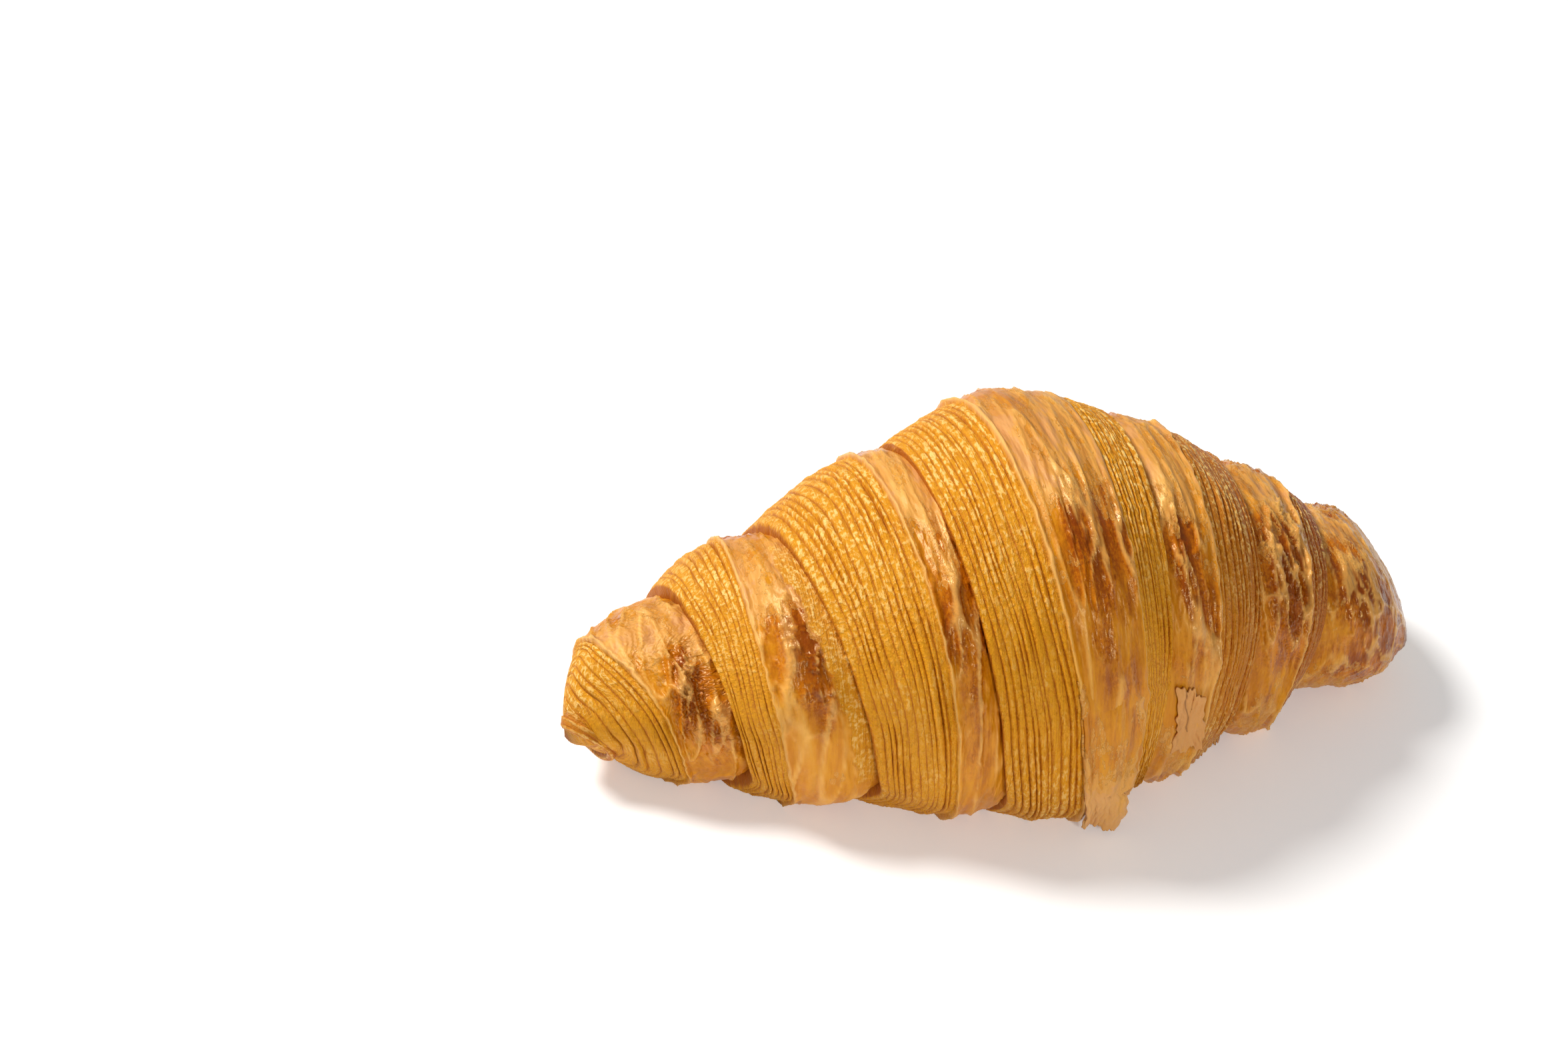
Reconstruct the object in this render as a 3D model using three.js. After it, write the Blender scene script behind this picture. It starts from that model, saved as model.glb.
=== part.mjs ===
// A straight butter croissant, baked as one solid piece and resting on its flat base.
// The rolled dough shows as seven wraps, biggest in the middle, stepping down to two knobs.
// Units are millimetres: +X runs along the croissant, +Y to its back and +Z up.

import * as THREE from 'three';

// Overall size.
const LENGTH = 174;
const WIDTH = 86;
const HEIGHT = 67;

// Creases between the wraps, as shares of the half length measured out from the middle.
const CREASES = [0.235, 0.507, 0.733];

// Girth at the crown of each wrap, from the middle wrap out to the knob, as shares of the
// middle one. The last share sets how high the point of the knob is carried.
const GIRTHS = [1, 0.86, 0.665, 0.465];
const POINT_GIRTH = 0.34;

// How far each crease sinks below the skin beside it, and how wide the lip over it is.
const CREASE_DEPTH = 2.6;
const LIP_WIDTH = 1.6;

// Where a wrap is fullest: share of its width from its inner crease, and for the middle
// wrap the share of its half width that stays at full girth.
const CROWN = 0.26;
const MIDDLE_BAND = 0.4;

// The wraps wind round as a spiral: sideways travel in millimetres for each radian.
const LEAN = 4.4;

// The dough sags as it bakes: the axis sits at this share of the girth above the tray,
// and the cross-section is a little squarer than an ellipse.
const AXIS_HEIGHT = 0.8;
const SQUARENESS = 2.3;

const SEGMENTS = 64;
const SLOPE_STEPS = [0.3, 0.55, 0.75, 0.9, 1];

const halfLength = LENGTH / 2;
const fullGirth = HEIGHT / (1 + AXIS_HEIGHT);
const widthPerHeight = WIDTH / (2 * fullGirth);
const creases = CREASES.map((share) => share * halfLength);
const girths = GIRTHS.map((share) => share * fullGirth);

// Distance out from the middle at which each wrap is fullest.
function crownAt(wrap) {
  if (wrap === 0) {
    return MIDDLE_BAND * creases[0];
  }
  const inner = creases[wrap - 1];
  const outer = wrap < creases.length ? creases[wrap] : halfLength;
  return inner + CROWN * (outer - inner);
}

// One half of the outline, from the middle out: [distance from the middle, girth].
function halfOutline() {
  const outline = [[0, girths[0]]];
  for (let wrap = 0; wrap < girths.length; wrap += 1) {
    const crown = crownAt(wrap);
    const isKnob = wrap === girths.length - 1;
    const end = isKnob ? halfLength : creases[wrap];
    const endGirth = isKnob ? 0 : girths[wrap + 1] - CREASE_DEPTH;
    if (wrap > 0) {
      const lip = Math.min(creases[wrap - 1] + LIP_WIDTH, (creases[wrap - 1] + crown) / 2);
      outline.push([lip, girths[wrap] - 0.12 * CREASE_DEPTH]);
    }
    outline.push([crown, girths[wrap]]);
    for (const step of SLOPE_STEPS) {
      const fullness = Math.sqrt(1 - step * step);
      outline.push([crown + step * (end - crown), endGirth + fullness * (girths[wrap] - endGirth)]);
    }
  }
  return outline;
}

// Girth of the smooth spindle that the crowns of the wraps touch.
function spindleGirth(distance) {
  const stops = [[0, girths[0]]];
  girths.forEach((girth, wrap) => stops.push([crownAt(wrap), girth]));
  stops.push([halfLength, POINT_GIRTH * fullGirth]);
  for (let i = 1; i < stops.length; i += 1) {
    const [start, startGirth] = stops[i - 1];
    const [stop, stopGirth] = stops[i];
    if (distance <= stop) {
      return THREE.MathUtils.mapLinear(distance, start, stop, startGirth, stopGirth);
    }
  }
  return stops[stops.length - 1][1];
}

// Sideways travel of the spiral at one place: it winds toward the middle at the front,
// fades out at the points of the knobs and at the middle, and closes under the base.
function spiralShift(x, angle) {
  const fromPoint = THREE.MathUtils.smoothstep(halfLength - Math.abs(x), 0, 0.24 * halfLength);
  const fromMiddle = THREE.MathUtils.smoothstep(Math.abs(x), 0, 0.3 * halfLength);
  const winding = angle * (1 - THREE.MathUtils.smoothstep(Math.abs(angle), 1.9, Math.PI));
  return -Math.sign(x) * LEAN * fromPoint * fromMiddle * winding;
}

function roundedShare(value) {
  return Math.sign(value) * Math.abs(value) ** (2 / SQUARENESS);
}

// Turned about the long axis first, then each point moves to the sagged, spiralled place.
function croissantGeometry() {
  const outer = halfOutline();
  const left = outer.slice(1).reverse().map(([distance, girth]) => [-distance, girth]);
  const outline = [...left, ...outer].map(([x, girth]) => new THREE.Vector2(girth, x));
  const geometry = new THREE.LatheGeometry(outline, SEGMENTS);
  const position = geometry.attributes.position;
  for (let i = 0; i < position.count; i += 1) {
    const point = outline[i % outline.length];
    const turn = Math.floor(i / outline.length) % SEGMENTS;
    const angle = (2 * Math.PI * (turn - SEGMENTS / 2)) / SEGMENTS;
    const girth = point.x;
    const x = point.y;
    const axisHeight = AXIS_HEIGHT * spindleGirth(Math.abs(x));
    const y = -widthPerHeight * girth * roundedShare(Math.sin(angle));
    const z = axisHeight + girth * roundedShare(Math.cos(angle));
    position.setXYZ(i, x + spiralShift(x, angle), y, Math.max(z, 0));
  }
  geometry.computeVertexNormals();
  return geometry;
}

const crust = new THREE.MeshStandardMaterial({ color: 0xc98a3c, roughness: 0.4, metalness: 0 });
const croissant = new THREE.Mesh(croissantGeometry(), crust);
croissant.name = 'croissant';

const group = new THREE.Group();
group.name = 'butter_croissant';
group.add(croissant);

export default group;
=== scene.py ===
import math

import bpy
import numpy as np
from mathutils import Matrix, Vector


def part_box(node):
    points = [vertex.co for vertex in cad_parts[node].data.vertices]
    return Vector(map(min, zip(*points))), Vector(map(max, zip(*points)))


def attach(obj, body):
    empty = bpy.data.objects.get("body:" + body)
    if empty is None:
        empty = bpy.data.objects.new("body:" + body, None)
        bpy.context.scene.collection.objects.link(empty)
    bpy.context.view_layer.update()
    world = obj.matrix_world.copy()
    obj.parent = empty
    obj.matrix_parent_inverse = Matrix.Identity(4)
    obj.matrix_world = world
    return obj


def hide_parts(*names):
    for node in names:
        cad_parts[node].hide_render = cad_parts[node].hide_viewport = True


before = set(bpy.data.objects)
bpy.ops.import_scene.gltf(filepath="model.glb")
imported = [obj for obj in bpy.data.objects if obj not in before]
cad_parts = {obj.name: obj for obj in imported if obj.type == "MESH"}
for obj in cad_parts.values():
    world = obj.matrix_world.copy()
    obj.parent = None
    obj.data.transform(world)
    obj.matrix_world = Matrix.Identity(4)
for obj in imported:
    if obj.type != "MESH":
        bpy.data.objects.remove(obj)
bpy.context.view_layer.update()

# --- The camera -------------------------------------------------------------------------
# It looks down at the croissant from the front and a little from its left, and the croissant
# lies right of the middle of the frame and a little low in it.
low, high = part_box("croissant")
heart = Vector((0.004, 0, 0.49 * high[2]))
turn = math.radians(12)
tilt = math.radians(35)
back = Vector((-math.sin(turn) * math.cos(tilt), -math.cos(turn) * math.cos(tilt), math.sin(tilt)))
sideways = Vector((math.cos(turn), -math.sin(turn), 0))
upward = back.cross(sideways)

bpy.ops.object.select_all(action="DESELECT")
bpy.ops.object.camera_add()
camera = bpy.context.object
camera.name = "camera"
camera.data.lens = 50
camera.data.sensor_width = 36
camera.data.clip_start = 0.01
camera.location = heart + 0.425 * back - 0.046 * sideways + 0.0105 * upward
camera.rotation_euler = (-back).to_track_quat("-Z", "Y").to_euler()
bpy.context.scene.camera = camera

# --- The crust --------------------------------------------------------------------------
# Butter dough brushed with egg and baked. The smooth skin is glossy, toasted amber where it
# bulges and pale and flaky on top; the cut edges show matt golden layers with dark grooves.
# Some of this colour is painted light: painted shade in the grooves and between the skin's folds, and painted
# highlights on the upward-facing layers and the fold crests.
crust = bpy.data.materials.new("crust")
crust.use_nodes = True
nodes = crust.node_tree.nodes
links = crust.node_tree.links
nodes.clear()


def dough(red, green, blue):
    """A colour as seen, 0 to 255, as the light it gives back."""
    seen = [c / 255 for c in (red, green, blue)]
    return tuple(c / 12.92 if c < 0.04045 else ((c + 0.055) / 1.055) ** 2.4 for c in seen) + (1,)


def reading(name):
    """A value that the mesh carries at each of its points."""
    node = nodes.new("ShaderNodeAttribute")
    node.attribute_name = name
    return node.outputs["Fac"]


def work(kind, first, second=None, third=None):
    """One sum, clamped or not, on sockets or plain numbers."""
    node = nodes.new("ShaderNodeMath")
    node.operation = kind
    for socket, value in zip(node.inputs, (first, second, third)):
        if value is None:
            continue
        if isinstance(value, (int, float)):
            socket.default_value = value
        else:
            links.new(value, socket)
    return node.outputs[0]


def fade(value, start, end):
    """0 below start, 1 above end, and smooth between them."""
    node = nodes.new("ShaderNodeMapRange")
    node.interpolation_type = "SMOOTHSTEP"
    links.new(value, node.inputs["Value"])
    node.inputs["From Min"].default_value = start
    node.inputs["From Max"].default_value = end
    return node.outputs["Result"]


def blend_of(share, first, second):
    """Mixes two colours, each a socket or a tuple."""
    node = nodes.new("ShaderNodeMix")
    node.data_type = "RGBA"
    links.new(share, node.inputs["Factor"])
    for socket, colour in ((node.inputs["A"], first), (node.inputs["B"], second)):
        if isinstance(colour, tuple):
            socket.default_value = colour
        else:
            links.new(colour, socket)
    return node.outputs["Result"]


flow = nodes.new("ShaderNodeAttribute")
flow.attribute_name = "flow"


def mottle(across, along, detail=3.0, roughness=0.55, shift=0.0):
    """Noise that follows the wraps: its size in mm across a wrap and along its winding."""
    stretch = nodes.new("ShaderNodeMapping")
    stretch.inputs["Scale"].default_value = (1 / across, 1 / along, 1)
    stretch.inputs["Location"].default_value = (shift, shift, shift)
    links.new(flow.outputs["Vector"], stretch.inputs["Vector"])
    node = nodes.new("ShaderNodeTexNoise")
    node.inputs["Scale"].default_value = 1
    node.inputs["Detail"].default_value = detail
    node.inputs["Roughness"].default_value = roughness
    links.new(stretch.outputs["Vector"], node.inputs["Vector"])
    return node.outputs["Fac"]


cut = reading("cut")
painted_ridge_light = reading("painted_ridge_light")
toast = reading("toast")
pale_flakes_and_top_highlight = reading("pale_flakes_and_top_highlight")
burnt_and_shade = reading("burnt_and_shade")
fold_light_and_shade = reading("fold_light_and_shade")

# Skin: golden dough, amber where toasted, with pale flakes in thin layers with crisp edges.
patchy = mottle(4, 9, 6, 0.7)
streaky = mottle(1.8, 12, 4, 0.6, 3.1)
grainy = mottle(0.5, 0.7, 3, 0.65, 2.2)
toasted = fade(work("ADD", toast, work("MULTIPLY_ADD", patchy, 1.7, -0.85)), 0.1, 0.75)
deepest = fade(work("ADD", toast, work("MULTIPLY_ADD", patchy, 2.2, -1.1)), 0.75, 1.4)
golden = blend_of(fade(streaky, 0.3, 0.7), dough(188, 112, 2), dough(206, 136, 16))
speckled = work("ADD", streaky, work("MULTIPLY_ADD", grainy, 0.7, -0.35))
amber = blend_of(fade(speckled, 0.35, 0.65), dough(140, 62, 1), dough(188, 106, 6))
amber = blend_of(work("MULTIPLY", deepest, 0.8), amber, dough(112, 42, 1))
skin = blend_of(toasted, golden, amber)
flaking = mottle(4.2, 9, 6, 0.68, 7.7)
flake_level = work("ADD", flaking, work("MULTIPLY_ADD", pale_flakes_and_top_highlight, 0.3, -0.17))
flake_level = work("ADD", flake_level, work("MULTIPLY", toasted, -0.03))
first_flake = fade(flake_level, 0.495, 0.503)
second_flake = fade(flake_level, 0.56, 0.568)
third_flake = fade(flake_level, 0.66, 0.69)
skin = blend_of(work("MULTIPLY", first_flake, 0.55), skin, dough(198, 132, 46))
skin = blend_of(work("MULTIPLY", second_flake, 0.6), skin, dough(206, 148, 74))
skin = blend_of(work("MULTIPLY", third_flake, 0.6), skin, dough(198, 140, 88))
first_rim = work("SUBTRACT", first_flake, fade(flake_level, 0.503, 0.52))
second_rim = work("SUBTRACT", second_flake, fade(flake_level, 0.568, 0.58))
rims = work("MULTIPLY", work("MAXIMUM", work("ADD", first_rim, second_rim), 0), 0.5)
skin = blend_of(rims, skin, dough(232, 184, 112))
# Painted light on the skin: a painted highlight on the crests of the folds and wrinkles and on the lifted
# lips, and painted shade everywhere between them.
skin = blend_of(work("MULTIPLY", fade(fold_light_and_shade, 0.35, 0.9), 0.5), skin, dough(232, 178, 94))
painted_valley_shade = fade(work("MULTIPLY", fold_light_and_shade, -1), -0.12, 0.0)
skin = blend_of(work("MULTIPLY", painted_valley_shade, 0.3), skin, dough(150, 74, 4))

# Cut edges: dark orange in the grooves, golden on the layers, creamy where they stand proud. The dark of the
# grooves is painted shade, and the cream specks are a painted highlight on the proud layers that face up.
pebbles = mottle(0.6, 0.9, 3, 0.6, 1.7)
lines = mottle(0.32, 16, 3, 0.6, 5.3)
highlight_breakup = mottle(3.5, 7, 3, 0.6, 4.4)
proud = work("ADD", work("MULTIPLY", painted_ridge_light, 0.5), work("MULTIPLY_ADD", lines, 0.7, -0.3))
layers = blend_of(fade(proud, 0.0, 0.45), dough(170, 92, 0), dough(208, 138, 2))
layers = blend_of(work("MULTIPLY", toast, 0.82), layers, dough(146, 52, 2))
specks = fade(work("ADD", work("MULTIPLY", proud, 0.7), pebbles), 0.74, 0.96)
highlight_share = work("MULTIPLY_ADD", pale_flakes_and_top_highlight, 0.8, work("MULTIPLY_ADD", highlight_breakup, 1.3, -0.55))
cream_highlight = work("MULTIPLY", specks, work("MINIMUM", work("MAXIMUM", highlight_share, 0), 0.95))
layers = blend_of(cream_highlight, layers, dough(238, 196, 116))

colour = blend_of(cut, skin, layers)
# Dark brown: the burnt nub and left tip, and painted shade in the flake's crack and the curled tip's hollow.
colour = blend_of(burnt_and_shade, colour, dough(84, 38, 14))

shader = nodes.new("ShaderNodeBsdfPrincipled")
links.new(colour, shader.inputs["Base Color"])
shader.inputs["Subsurface Weight"].default_value = 0.08
shader.inputs["Subsurface Radius"].default_value = (0.003, 0.0012, 0.0003)
shader.inputs["Subsurface Scale"].default_value = 1.0
shader.inputs["Specular IOR Level"].default_value = 0.5
shader.inputs["Specular Tint"].default_value = (1.0, 0.78, 0.42, 1)
sheen_of_egg = work("MULTIPLY_ADD", toasted, -0.2, 0.36)
sheen_of_egg = work("MULTIPLY_ADD", first_flake, 0.1, sheen_of_egg)
gloss = work("ADD", work("MULTIPLY", cut, 0.2), work("MULTIPLY_ADD", streaky, 0.12, sheen_of_egg))
links.new(gloss, shader.inputs["Roughness"])

# Fine relief: pebbled layers, wrinkled skin and the thin step round each flake.
steps = work("ADD", work("MULTIPLY", first_flake, 0.25), work("MULTIPLY", second_flake, 0.25))
fine_skin = work("ADD", work("MULTIPLY", mottle(1.8, 6, 2, 0.45, 9.1), 1.1), steps)
fine_skin = work("ADD", fine_skin, work("MULTIPLY", grainy, work("MULTIPLY_ADD", toasted, 0.06, 0.08)))
fine_cut = work("ADD", work("MULTIPLY", pebbles, 0.9), work("MULTIPLY", lines, 0.6))
mix_height = nodes.new("ShaderNodeMix")
links.new(cut, mix_height.inputs["Factor"])
links.new(fine_skin, mix_height.inputs["A"])
links.new(fine_cut, mix_height.inputs["B"])
bump = nodes.new("ShaderNodeBump")
bump.inputs["Strength"].default_value = 0.8
bump.inputs["Distance"].default_value = 0.001
links.new(mix_height.outputs["Result"], bump.inputs["Height"])
links.new(bump.outputs["Normal"], shader.inputs["Normal"])

output = nodes.new("ShaderNodeOutputMaterial")
links.new(shader.outputs["BSDF"], output.inputs["Surface"])

# --- The seven wraps --------------------------------------------------------------------
# One sheet of layered dough rolled up from its base, so that each wrap shows a stepped cut
# edge on its outer side and a smooth skin up to where the next, fuller wrap lies over it.
mm = 0.001
axis_height = 0.8
fullest = (high[2] - low[2]) / (1 + axis_height) / mm
rng = np.random.default_rng(11)


def eased(value, start, end):
    """0 to 1 as value goes from start to end, smooth at both."""
    share = np.clip((value - start) / (end - start), 0, 1)
    return share * share * (3 - 2 * share)


def drift(across, around, terms=16):
    """A smooth random surface, about -1 to 1, which closes round the croissant. across is its
    fineness in radians a millimetre, and around in waves a turn."""
    slopes = rng.normal(0, across, terms)
    waves = np.rint(rng.normal(0, around, terms))
    starts = rng.uniform(0, 2 * np.pi, terms)

    def height(x, angle):
        total = np.zeros(np.broadcast(x, angle).shape)
        for slope, wave, start in zip(slopes, waves, starts):
            total += np.cos(slope * x + wave * angle + start)
        return total / math.sqrt(terms)

    return height


def winding(line, angle):
    """Where a line across the wraps runs: its place on top, its lean to the front in mm a
    radian, and how much it curls as it goes down the front. It closes under the base."""
    top, lean, curl = line
    held = 1 - eased(np.abs(angle), 2.0, np.pi)
    return top + held * (lean * angle + curl * np.clip(angle, 0, None) ** 2)


# The spindle that the crowns touch: place along it, girth, and how far it is set forward.
spindle = np.array([
    (-87, 12.5, 2.5), (-80, 16.0, -1.5), (-62.7, 18.6, -2.8), (-47.8, 24.6, 1.8), (-22.2, 32.2, 2.8),
    (2.6, 37.2, 1.2), (28.3, 32.6, 0.5), (52.2, 25.2, -0.5), (74, 18.6, -3.0), (82, 15.5, -2.5),
    (87, 13.0, -1.0),
])

# Half width for each mm of girth, a little inside the full width to leave room for the relief.
breadth = 0.99 * (high[1] - low[1]) / 2 / fullest / mm

# The edges of the wraps, from the left tip to the right one: place on top, lean and curl.
tip_left = (-86.6, 0, 0)
knob_skin = (-76.0, 5.4, 0)
seam_1 = (-61.5, 4.0, 0)
skin_2 = (-52.3, 0.8, 1.0)
seam_2 = (-41.2, 5.2, 0)
skin_3 = (-24.0, 3.0, 0)
seam_3 = (-16.6, 2.0, 1.0)
tongue_left = (-3.0, 2.0, 1.0)
tongue_right = (15.5, -1.5, 1.0)
seam_4 = (24.5, -2.6, 0)
skin_5 = (35.2, -3.0, 0)
seam_5 = (47.0, -4.0, 0)
skin_6 = (59.7, -4.4, 0)
seam_6 = (66.0, -4.8, 0)
skin_right = (86.0, 0, 0)
tip_right = (87.0, 0, 0)

# Each wrap: its edges from the outer side inward, the girth of its neighbour's skin at each
# seam that it rises from, its own girth, where it is fullest as a share of the way in, the
# number of layers in each cut edge, and how far toasting blisters its skin, or smooths it below
# 0. A toasted patch is its place along and around, its width along and around, and its depth.
wraps = [
    dict(name="knob_left", edges=[tip_left, knob_skin, seam_1], girth=16.6, crown=0.9,
         layers=[9], blister=1.8,
         toasted=[(-64.5, 0.8, 3, 0.5, 1.2), (-60, 1.25, 3, 0.35, 0.7), (-66, -1.45, 5, 0.4, 0.8)]),
    dict(name="wrap_2", edges=[seam_1, skin_2, seam_2], base=[17.4], girth=24.6, crown=0.72,
         layers=[8], blister=0.6,
         toasted=[(-44, 0.72, 4.5, 0.34, 1.2), (-41, 1.2, 2.5, 0.4, 0.8), (-48, -0.9, 5, 0.45, 1.0)]),
    dict(name="wrap_3", edges=[seam_2, skin_3, seam_3], base=[24.6], girth=32.2, crown=0.8,
         layers=[12], blister=0.6,
         toasted=[(-17, 0.95, 4.5, 0.42, 1.1), (-17, 0.35, 2.5, 0.3, 0.6), (-22, -0.95, 5, 0.5, 1.0)]),
    dict(name="wrap_4", edges=[seam_3, tongue_left, tongue_right, seam_4], base=[32.2, 32.6],
         girth=37.6, crown=0.52, layers=[11, 8], blister=0.6,
         toasted=[(8, 1.0, 5, 0.45, 0.75), (5, 0.45, 3, 0.3, 0.7), (14, 0.7, 2.5, 0.5, 0.4),
                  (5, -1.0, 8, 0.5, 0.9)]),
    dict(name="wrap_5", edges=[seam_5, skin_5, seam_4], base=[25.4], girth=32.6, crown=0.84,
         layers=[9], blister=0.6,
         toasted=[(27, 0.7, 3.5, 0.5, 1.1), (31, 1.2, 2.5, 0.25, 0.6), (28, -0.9, 5, 0.5, 1.0)]),
    dict(name="wrap_6", edges=[seam_6, skin_6, seam_5], base=[17.8], girth=25.2, crown=0.8,
         layers=[5], blister=0.6,
         toasted=[(51, 0.75, 5, 0.5, 1.0), (55, 0.2, 2.5, 0.2, 0.9), (53, -0.9, 6, 0.5, 1.0)]),
    dict(name="knob_right", edges=[tip_right, skin_right, seam_6], girth=17.8, crown=0.62,
         layers=[0], blister=-0.45,
         toasted=[(72, 0.8, 5, 0.55, 1.0), (82, 0.9, 4, 0.8, 0.5), (76, 1.6, 8, 0.5, 0.9),
                  (75, -0.9, 7, 0.6, 0.8)]),
]

# Rows of points round each wrap, and the random surfaces that roughen and colour its crust.
rows = 420
angle = np.linspace(-np.pi, np.pi, rows + 1)[:, None]
slow = drift(0.05, 1.6)
swell = drift(0.16, 3)
fold = drift(0.55, 3.0, 22)
wrinkle = drift(1.3, 7, 26)
crinkle = drift(2.6, 22, 30)
pebble = drift(3.2, 85, 40)
wander = drift(0.16, 3.5, 18)
fading = drift(0.7, 7, 18)
ragged = drift(0.3, 22, 22)
patch = drift(0.12, 3.2, 18)
rivulet = drift(2.6, 13, 30)


def placed(x, angle, girth):
    """Where a point of the crust lies: it sagged on the tray, so its lower half is squarer, and
    both ends are curled a little."""
    curl = eased(-x, 62, 84) * (0.26 * np.clip(np.cos(angle), 0, 1) - 0.36 * np.clip(np.sin(angle), 0, 1))
    curl = curl + 0.1 * eased(x, 66, 86) * np.cos(angle)
    axis = axis_height * np.interp(x, spindle[:, 0], spindle[:, 1])
    forward = np.interp(x, spindle[:, 0], spindle[:, 2])
    low_half = eased(np.abs(angle), 1.2, 2.2)
    knobby = eased(np.abs(x), 52, 70)
    middling = 0.15 * np.exp(-((x - 5) / 14) ** 2)

    # A squareness of 2 would make the section an ellipse.
    squareness = 2.15 + (0.65 - middling - 0.75 * knobby) * low_half
    power = 2 / squareness
    y = -breadth * girth * np.sign(np.sin(angle)) * np.abs(np.sin(angle)) ** power - forward
    z = axis + girth * np.sign(np.cos(angle)) * np.abs(np.cos(angle)) ** power
    left_end_lift = 4 * eased(-x, 72, 87) * low_half * eased(girth, 0, 8)
    z = np.maximum(z, 0) + left_end_lift
    return np.stack([x - curl * girth, y, z], axis=2) * mm


def laid(name, points, carried, flow_at, thickness):
    """Lays a grid of dough along the points, closes it, and gives it its crust."""
    bpy.ops.object.select_all(action="DESELECT")
    bpy.ops.mesh.primitive_grid_add(x_subdivisions=points.shape[1] - 1, y_subdivisions=points.shape[0] - 1,
                                    size=0.05)
    piece = bpy.context.object
    piece.name = name
    piece.data.vertices.foreach_set("co", points.reshape(-1))
    for reading_name, values in carried.items():
        held = piece.data.attributes.new(reading_name, "FLOAT", "POINT")
        held.data.foreach_set("value", values.astype(np.float32).reshape(-1))
    held = piece.data.attributes.new("flow", "FLOAT_VECTOR", "POINT")
    held.data.foreach_set("vector", flow_at.astype(np.float32).reshape(-1))
    if thickness:
        leaf = piece.modifiers.new("leaf", "SOLIDIFY")
        leaf.thickness = thickness * mm
        leaf.offset = 0
        bpy.ops.object.modifier_apply(modifier="leaf")
    bpy.ops.object.mode_set(mode="EDIT")
    bpy.ops.mesh.select_all(action="SELECT")
    bpy.ops.mesh.remove_doubles(threshold=0.000002)
    bpy.ops.mesh.normals_make_consistent(inside=False)
    bpy.ops.object.mode_set(mode="OBJECT")
    bpy.ops.object.shade_smooth()
    piece.data.materials.append(crust)
    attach(piece, "root")
    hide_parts("croissant")


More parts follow.
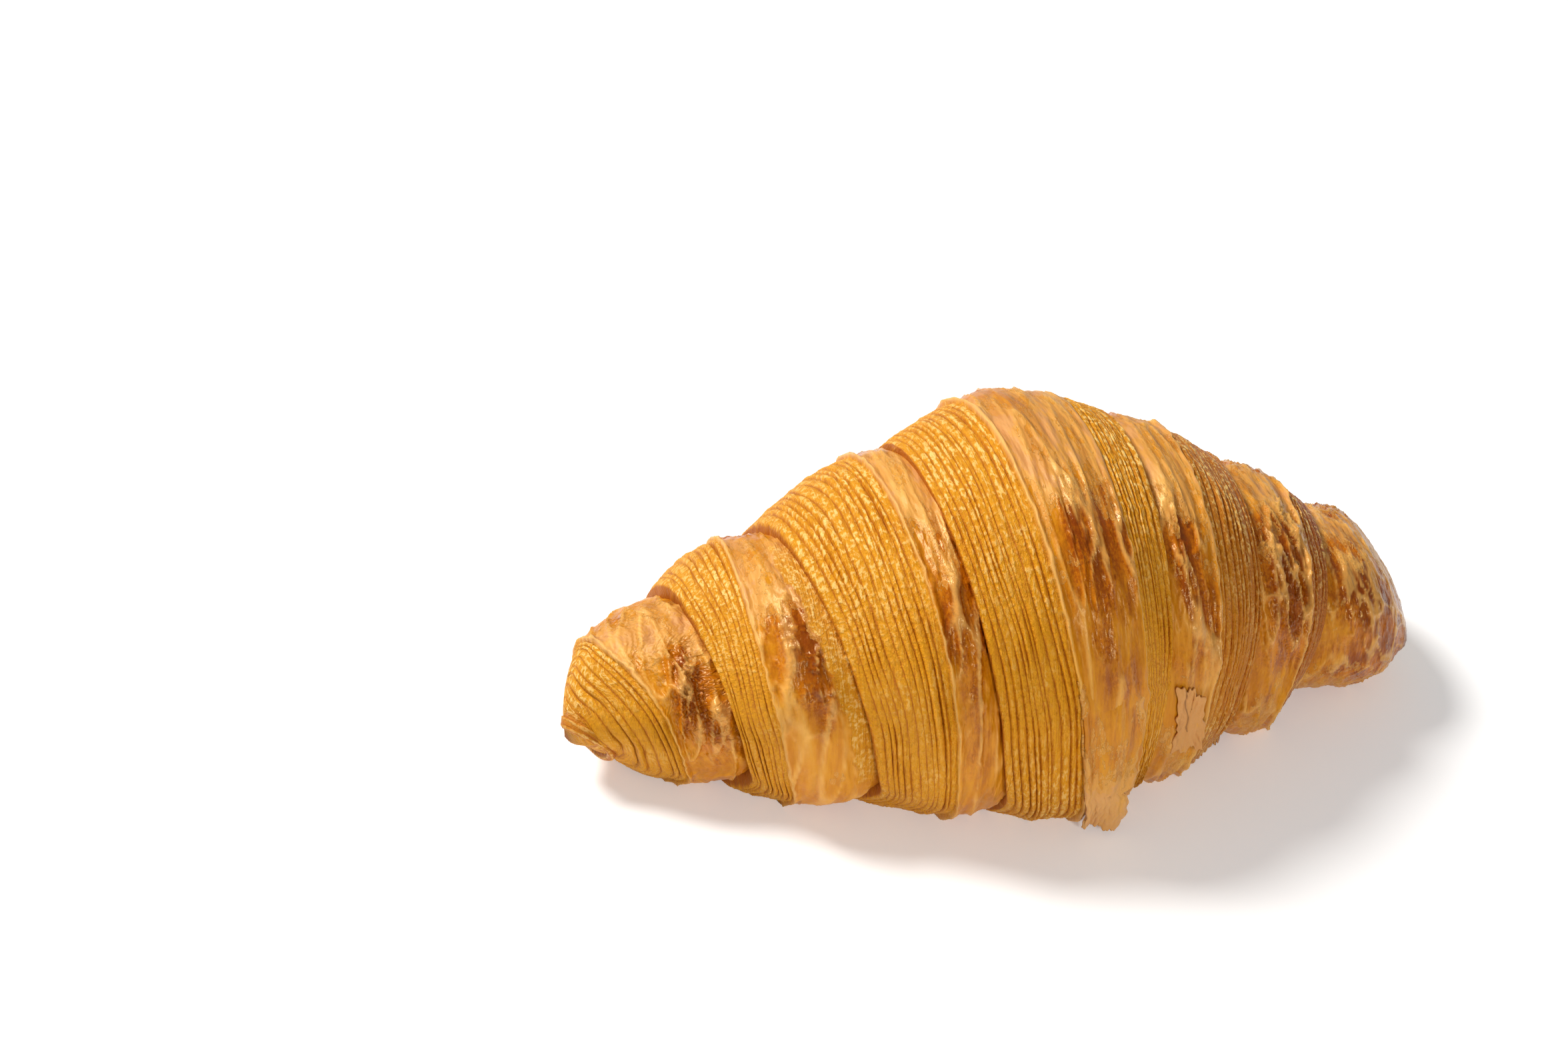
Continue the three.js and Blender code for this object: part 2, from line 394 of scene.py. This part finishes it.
skins = {}
for order, wrap in enumerate(wraps):
    edges = [winding(line, angle) for line in wrap["edges"]]
    outer, inner = edges[0], edges[-1]
    is_knob = "knob" in wrap["name"]
    is_middle = len(wrap["layers"]) == 2
    side = -1 if wrap["edges"][0][0] < wrap["edges"][-1][0] else 1

    # Columns round the wrap from its outer side inward. Those of a cut edge follow its layers:
    # a groove, then the lifted edge of the layer, then its slope down to the next groove.
    columns = []

    def cut_columns(start, end, layers, facing):
        """Columns of one cut edge, from start to end; facing is 1 if it opens toward start."""
        widths = rng.uniform(0.45, 1.6, layers)
        bounds = np.concatenate([[0], np.cumsum(widths)]) / widths.sum()
        size = float(np.abs(end - start).mean())
        made = []
        for layer in range(layers):
            proud = rng.choice([0.45, 0.75, 1.0, 1.35, 1.6])
            steps = (0.0, 0.09, 0.18, 0.34, 0.52, 0.72, 0.9)
            lifts = (-0.36, 0.02, 0.24, 0.28, 0.24, 0.14, 0.0)
            for step, lift in zip(steps, lifts):
                share = bounds[layer] + step * (bounds[layer + 1] - bounds[layer])
                made.append((share, lift * proud, 0.0 if step == 0 else min(1.0, 0.55 + lift * 1.4)))
        if facing < 0:
            made = [(1 - share, lift, crest) for share, lift, crest in reversed(made)]
        for share, lift, crest in made:
            held = math.sin(math.pi * min(max(share, 0), 1)) ** 0.5 if 0 < share < 1 else 0
            place = start + (end - start) * share
            place = place + held * 0.3 * size / layers * wander(place, angle)
            depth = np.clip(0.8 + 0.65 * fading(place, angle), 0.05, 1.6)
            columns.append((place, 1.0, lift * depth, crest, 0.0))

    def skin_columns(start, end, lip_start, lip_end):
        """Columns of one skin, with a thin lifted lip where it starts or ends over a cut edge."""
        count = max(int(float(np.abs(end - start).mean()) / 0.4), 6)
        direction = np.sign(float((end - start).mean()))
        frayed = 0.25 * ragged(start, angle)
        for index in range(count + 1):
            share = index / count
            place = start + (end - start) * share
            lift = np.zeros_like(angle)
            if lip_start:
                away = share * np.abs(end - start)
                lift = lift + 0.95 * np.exp(-((away - 0.15) / 0.6) ** 2)
                place = place + direction * frayed * np.exp(-away / 1.2)
            if lip_end:
                away = (1 - share) * np.abs(end - start)
                lift = lift + 0.5 * np.exp(-((away - 0.2) / 0.9) ** 2)
                place = place + direction * frayed * np.exp(-away / 1.2)
            columns.append((place, 0.0, lift, 0.5, share))

    if is_middle:
        cut_columns(edges[0], edges[1], wrap["layers"][0], 1)
        skin_columns(edges[1], edges[2], True, True)
        cut_columns(edges[2], edges[3], wrap["layers"][1], -1)
    else:
        if wrap["layers"][0]:
            cut_columns(edges[0], edges[1], wrap["layers"][0], 1)
        skin_columns(edges[1], edges[2], wrap["layers"][0] > 0, False)

    x = np.hstack([column[0] + 0 * angle for column in columns])
    least_stride = 0.03
    strides = np.maximum(-side * np.diff(x, axis=1), least_stride)
    x = x[:, :1] - side * np.hstack([np.zeros_like(angle), np.cumsum(strides, axis=1)])
    cutness = np.hstack([column[1] + 0 * angle for column in columns])
    lift = np.hstack([column[2] + 0 * angle for column in columns])
    crest = np.hstack([column[3] + 0 * angle for column in columns])
    skin_share = np.hstack([column[4] + 0 * angle for column in columns])

    # On the second wrap the skin has torn away along the seam and shows crumbly dough.
    strip = 0
    if wrap["name"] == "wrap_2":
        shown = eased(angle, -0.5, 0.1) * (1 - eased(angle, 1.75, 2.1))
        torn = eased(x - inner + 4.0 + 0.5 * ragged(x, angle), 0, 0.5) * shown
        rift = np.exp(-((x - inner + 4.2) / 0.45) ** 2) * shown
        cutness = np.maximum(cutness, 0.9 * torn)
        crest = np.where(torn > 0.5, 0.85, crest)
        lift = lift - 0.6 * rift
        strip = torn

    # Girth: a slope up from the outer seam to the crown, then a slight fall to the inner seam.
    def slope_up(edge, crown_line, base, power):
        run = np.clip((x - edge) / (crown_line - edge), 0, 1)
        return (wrap["girth"] - base) * (1 - run) ** power

    crown = outer + wrap["crown"] * (inner - outer)
    if is_middle:
        girth = wrap["girth"] - slope_up(outer, crown, wrap["base"][0] + 0.6, 1.75)
        girth = girth - slope_up(inner, crown, wrap["base"][1] + 0.6, 1.75) * (x > crown)
    else:
        fall = 0.8 * np.clip((x - crown) / (inner - crown), 0, 1) ** 2
        if is_knob:
            run = np.clip((x - outer) / (crown - outer), 0, 1)
            girth = wrap["girth"] * (1 - (1 - run) ** 2.0) ** 0.56 - fall
        else:
            girth = wrap["girth"] - slope_up(outer, crown, wrap["base"][0] + 0.8, 1.65) - fall

    # Toasting: deepest in the patches, browner toward the right end, fainter near the tray.
    front = angle + 0 * x
    toast = 0.22 * patch(x, angle)
    for across, around, wide, tall, deep in wrap["toasted"]:
        toast = toast + deep * np.exp(-((x - across) / wide) ** 2 - ((front - around) / tall) ** 2)
    browner = 0.36 * eased(x, 10, 55) + 0.26 * eased(x, 60, 70)
    near_tray = eased(np.abs(front), 1.4, 2.1)
    toast = np.clip(toast + browner, 0, 1.2) * (1 - cutness) * (1 - 0.5 * near_tray)
    toast = toast + 2.2 * browner * cutness

    # Relief: pebbles on the layers, folds and fine wrinkles in the skin, and slow unevenness.
    grain = np.abs(pebble(x, angle))
    creased = np.clip(1 - 1.6 * np.abs(fold(x, angle)), 0, 1) ** 2
    thin = np.clip(1 - 1.4 * np.abs(wrinkle(x, angle)), 0, 1) ** 2
    in_front = (front > -0.5) & (front < 2.4)
    blistered = 1 + wrap["blister"] * toast * in_front
    fine = np.clip(1 - 1.5 * np.abs(rivulet(x, angle)), 0, 1) ** 2
    skin_relief = 0.5 * creased + 0.36 * thin * (0.4 + toast) + 0.3 * fine * (0.15 + toast)
    skin_relief = skin_relief + 0.05 * crinkle(x, angle)
    lip = np.exp(-(skin_share / 0.035) ** 2)
    lip = lip + (np.exp(-((1 - skin_share) / 0.02) ** 2) if is_middle else 0)
    # This colour mask is painted light: a painted highlight on fold and wrinkle crests and on the lips, with
    # painted shade between them.
    fold_light_and_shade = 0.75 * creased + 0.6 * thin * (0.4 + toast) + 0.4 * fine * toast + 0.8 * lip
    fold_light_and_shade = np.clip(fold_light_and_shade, 0, 1) * (1 - cutness)
    relief = lift + cutness * crest * 0.1 * (grain - 0.6)
    relief += (1 - cutness) * (skin_relief * blistered - 0.1)
    relief += 0.4 * swell(x, angle) + 0.7 * slow(x, angle)

    # A small burnt nub stands on the front of the right knob.
    nub = np.exp(-((x - 84) / 1.8) ** 2 - ((front - 1.5) / 0.3) ** 2)
    relief += 1.6 * nub
    steadied = np.clip(girth / 12, 0, 1)
    girth = np.clip(girth + relief * steadied, 0.9, None)

    # The buried rims and the poles that close the wrap inside its neighbours.
    across = [x]
    radii = [girth]
    inward = -side

    def rim(column, shift, sink):
        return x[:, [column]] + shift, np.clip(girth[:, [column]] - sink, 0.2, None)

    if is_knob:
        across.insert(0, np.full_like(angle, wrap["edges"][0][0] + 0.3 * side))
        radii.insert(0, np.zeros_like(angle))
        lead = 1
    else:
        wall_x, wall_girth = rim(0, 0.6 * inward, 3.0)
        across = [np.full_like(angle, float(outer.mean()) + 3 * inward), wall_x] + across
        radii = [np.zeros_like(angle), wall_girth] + radii
        lead = 2
    end_x, end_girth = rim(-1, -0.6 if is_middle else 2.5 * inward, 3.0 if is_middle else 1.4)
    across += [end_x, np.full_like(angle, float(inner.mean()) + (-3 if is_middle else 2.5 * inward))]
    radii += [end_girth, np.zeros_like(angle)]
    x_all = np.hstack(across)
    girth_all = np.hstack(radii)

    def widened(values):
        return np.hstack([np.repeat(values[:, :1], lead, 1), values, np.repeat(values[:, -1:], 2, 1)])

    # Pale share: on the skin it sets where the pale flakes lie, most on top and low down; on the cut edges
    # its top-facing part is a painted highlight, the cream on the layers that face up.
    pale_flakes_and_top_highlight = np.clip(1.15 - np.abs(front) / 0.9, 0, 1) + 0.5 * eased(np.abs(front), 1.4, 1.9) * eased(x, -20, 0)
    pale_flakes_and_top_highlight = pale_flakes_and_top_highlight + 0.7 * lip * (1 - cutness) + 0.6 * strip
    burnt_and_shade = np.clip(0.85 * nub + 0.5 * eased(-x, 85, 87), 0, 0.9)
    # The ridge light is painted: lighter on the crests of the layers, with painted shade in the grooves.
    carried = {
        "cut": widened(cutness), "painted_ridge_light": widened(crest * np.clip(0.55 + 0.5 * grain, 0, 1.3)),
        "toast": widened(toast), "pale_flakes_and_top_highlight": widened(pale_flakes_and_top_highlight), "burnt_and_shade": widened(burnt_and_shade),
        "fold_light_and_shade": widened(fold_light_and_shade),
    }

    # The pattern of the crust runs with the winding, and each wrap has its own stretch of it. On
    # a knob it runs across the end and not round it, so that it doesn't gather at the pole.
    own = 40.0 * order
    flow_at = np.stack([x_all, widened(front) * 30, np.full_like(x_all, own)], axis=2)
    if is_knob:
        steps = np.hypot(np.diff(x_all, axis=1), np.diff(girth_all, axis=1))
        along = np.hstack([np.zeros_like(angle), np.cumsum(steps, axis=1)])
        flow_at[:, :, 0] = along if wrap["layers"][0] else x_all
        flow_at[:, :, 1] = girth_all * np.sin(angle)
        flow_at[:, :, 2] = girth_all * np.cos(angle) / 5 + own
    laid(wrap["name"], placed(x_all, angle, girth_all), carried, flow_at, 0)
    skins[wrap["name"]] = (x, girth)


def lying_on(name, x, around):
    """The girth of a wrap at places x along it, one row of them for each angle in around."""
    held_x, held_girth = skins[name]
    nearest = [int(round((turned + math.pi) / (2 * math.pi) * rows)) for turned in around]
    return np.array([np.interp(row, held_x[near], held_girth[near]) for row, near in zip(x, nearest)])


# --- The loose end of the tongue --------------------------------------------------------
# The thin end of the dough sheet. It leaves the middle wrap half way down the front and hangs
# straight to the tray, with a torn lower edge.
leaves_at = 0.42
steps_down = 120
across = np.linspace(0, 1, 61)[None, :]
down = np.linspace(0, 1, steps_down + 1)[:, None]
turned = np.minimum(1.3 + down, 1.3 + leaves_at)
left = np.interp(down, [0, leaves_at, 1], [1.2, 3.0, 6.2])
right = np.interp(down, [0, 0.2, leaves_at, 0.7, 1], [14.4, 15.0, 14.6, 13.6, 12.9])
left = left + 0.18 * np.sin(17 * down) + 0.1 * np.sin(53 * down)
right = right + 0.3 * np.sin(23 * down + 1) + 0.22 * np.sin(61 * down)
right = right - 1.5 * np.exp(-((down - 0.66) / 0.022) ** 2)
x = left + (right - left) * across
girth = lying_on("wrap_4", x, turned[:, 0])
feather = 0.35 * np.sin(7 * across + 1) * (1 - eased(down, 0, 0.3)) + 0.2 * np.cos(9 * across + 3 * down)
girth = girth + np.interp(down, [0, 0.25, leaves_at], [-0.9, 0.3, 0.9]) + feather
points = placed(x, turned + 0 * x, girth)

# Below the place where it leaves the wrap it hangs on a slight bow to its torn lower edge.
hang = np.clip((down - leaves_at) / (1 - leaves_at), 0, 1)
bow = np.sin(math.pi * hang)
torn_edge = 0.5 * np.sin(5 * across) + 0.35 * np.sin(23 * across + 2) + 0.2 * np.sin(57 * across)
last = int(leaves_at * steps_down)
hung_y = points[last:last + 1, :, 1] / mm * (1 - hang) + (-39.8 + 0.8 * np.sin(6 * across)) * hang
hung_y = hung_y - 1.2 * bow + 0.25 * np.sin(8 * across + 5 * hang) * bow
hung_z = points[last:last + 1, :, 2] / mm * (1 - hang) + (1.9 + torn_edge) * hang
points[:, :, 1] = np.where(hang > 0, hung_y * mm, points[:, :, 1])
points[:, :, 2] = np.where(hang > 0, np.maximum(hung_z, 0.3) * mm, points[:, :, 2])
points[:, :, 0] = np.where(hang > 0, x * mm, points[:, :, 0])
blank = np.zeros_like(x)
edging = np.exp(-(across / 0.05) ** 2) + np.exp(-((1 - across) / 0.04) ** 2)
# On the tongue the painted fold light grows down the hanging part: more painted highlight and less painted
# shade low on it.
carried = {
    "cut": blank, "painted_ridge_light": blank, "burnt_and_shade": blank,
    "toast": np.interp(down, [0, 0.35, 0.6, 1], [0.3, 0.3, 0.12, 0.1]) + blank,
    "pale_flakes_and_top_highlight": np.interp(down, [0, 0.4, 0.7, 1], [0.2, 0.5, 1.4, 1.4]) + 0.5 * edging + blank,
    "fold_light_and_shade": np.interp(down, [0, 0.4, 0.7, 1], [0.1, 0.3, 0.6, 0.65]) + blank,
}
flow_at = np.stack([x, down * 34 + 39 + blank, blank + 120], axis=2)
laid("tongue_end", points, carried, flow_at, 0.55)

# --- The loose flake --------------------------------------------------------------------
# A thin blister in the skin of the fifth wrap, low on the front. It broke open in the oven and
# cracked, so it lies loose there with its rim standing up.
across = np.linspace(-1, 1, 41)[None, :]
down = np.linspace(-1, 1, 61)[:, None]
bearing = np.arctan2(down, across)
jag = 0.88 + 0.1 * np.sin(3 * bearing + 1) + 0.07 * np.sin(8 * bearing) + 0.06 * np.sin(19 * bearing + 1)
x = 26.2 + 3.2 * across * jag + 0.8 * down
turned = 1.66 + 0.2 * down * jag
rise = np.hypot(across, down).clip(0, 1)
girth = np.array([lying_on("wrap_5", x[:, [k]], turned[:, k])[:, 0] for k in range(x.shape[1])]).T
girth = girth + 0.5 + 0.5 * rise ** 3 + 0.12 * np.sin(5 * across + 3 * down)
blank = np.zeros_like(x)
# The crack is only painted: a dark line of painted shade, laid with the burnt colour.
from_crack = across + 0.1 - 0.3 * down + 0.1 * np.sin(9 * down)
crack_shade = np.exp(-(from_crack / 0.05) ** 2) * (down < 0.3)
carried = {
    "cut": blank, "painted_ridge_light": blank, "toast": blank, "pale_flakes_and_top_highlight": blank + 1.7, "burnt_and_shade": 0.7 * crack_shade,
    "fold_light_and_shade": blank + 0.1,
}
flow_at = np.stack([x, turned * 30, blank + 500], axis=2)
laid("loose_flake", placed(x, turned, girth), carried, flow_at, 0.35)

# --- The curled tip ---------------------------------------------------------------------
# The rolled-up corner of the dough sheet at the left end: layer on layer round a hollow middle,
# browned more than the rest. It points out, forward and down, and its inner end is in the knob.
round_it = np.linspace(-np.pi, np.pi, 121)[:, None]

# Its outline from the end in the knob, over the layers and into the hollow: distance out, radius.
profile = np.array([
    (-6.0, 0.0), (-5.5, 4.0), (-4.0, 5.4), (-2.8, 5.1), (-2.4, 5.7), (-1.4, 5.4), (-1.0, 5.9),
    (0.2, 5.5), (0.6, 5.9), (1.6, 5.5), (2.1, 5.4), (2.4, 4.9), (2.3, 4.2), (1.6, 3.7), (1.2, 3.6),
    (1.5, 3.1), (1.0, 2.5), (-0.4, 2.1), (-2.0, 1.6), (-2.6, 0.0),
])
fineness = np.linspace(0, len(profile) - 1, 96)
along = np.interp(fineness, np.arange(len(profile)), profile[:, 0])[None, :]
radius = 1.12 * np.interp(fineness, np.arange(len(profile)), profile[:, 1])[None, :]
radius = radius * (1 + 0.1 * np.sin(round_it + 1) + 0.05 * np.sin(3 * round_it + 0.5 * along))
along = along + 0.5 * np.sin(round_it * 2 + 1) * (radius > 2)
out = Vector((-0.66, -0.52, -0.5)).normalized()
flat = out.cross(Vector((0, 0, 1))).normalized()
up = flat.cross(out)
centre = (-81.2, -3.6, 10.6)
points = np.stack([
    centre[k] + out[k] * along + radius * (flat[k] * np.sin(round_it) + up[k] * np.cos(round_it))
    for k in range(3)
], axis=2)
points[:, :, 2] = np.maximum(points[:, :, 2], 0.2)
blank = np.zeros_like(radius)
# Its colour: painted ridge light on the layers, and darker toward the hollow middle, painted shade there.
inside = eased(fineness[None, :], 11, 14) + blank
tip_ridge_light = 0.6 + 0.4 * np.cos(fineness[None, :] * 3.1) + blank
carried = {
    "cut": blank + 1, "painted_ridge_light": tip_ridge_light * (1 - 0.4 * inside), "toast": blank + 0.4 + 0.4 * inside,
    "pale_flakes_and_top_highlight": blank + 0.4, "burnt_and_shade": 0.05 + 0.25 * inside, "fold_light_and_shade": blank,
}
flow_at = np.stack([along, round_it * 6 + blank, blank + 600], axis=2)
laid("curled_tip", points * mm, carried, flow_at, 0)

# --- The floor and the light ------------------------------------------------------------
# A plain white table in a white room. A soft light stands at the upper left, behind the
# croissant, and a small one in front of it puts the glints on the egg wash.
bpy.ops.object.select_all(action="DESELECT")
bpy.ops.mesh.primitive_plane_add(size=6, location=(0, 0, 0))
floor = bpy.context.object
floor.name = "floor"
white = bpy.data.materials.new("white_table")
white.use_nodes = True
table_top = white.node_tree.nodes["Principled BSDF"]
table_top.inputs["Base Color"].default_value = (0.9, 0.9, 0.9, 1)
table_top.inputs["Roughness"].default_value = 0.7
table_top.inputs["Emission Color"].default_value = (1, 1, 1, 1)
table_top.inputs["Emission Strength"].default_value = 0.2
floor.data.materials.append(white)

bpy.ops.object.light_add(type="AREA", location=(-0.45, 0.35, 0.75))
key = bpy.context.object
key.name = "key_light"
key.data.shape = "DISK"
key.data.size = 0.36
key.data.energy = 11.2
key.data.color = (1.0, 0.98, 0.95)
key.rotation_euler = (heart - key.location).to_track_quat("-Z", "Y").to_euler()

bpy.ops.object.light_add(type="AREA", location=(0.08, -0.9, 0.5))
front_light = bpy.context.object
front_light.name = "front_light"
front_light.data.shape = "RECTANGLE"
front_light.data.size = 0.18
front_light.data.size_y = 0.09
front_light.data.energy = 3.6
front_light.rotation_euler = (heart - front_light.location).to_track_quat("-Z", "Y").to_euler()

world = bpy.data.worlds.new("white_room")
world.use_nodes = True
world.node_tree.nodes["Background"].inputs["Color"].default_value = (1, 1, 1, 1)
world.node_tree.nodes["Background"].inputs["Strength"].default_value = 0.26
bpy.context.scene.world = world
bpy.context.scene.view_settings.view_transform = "Standard"
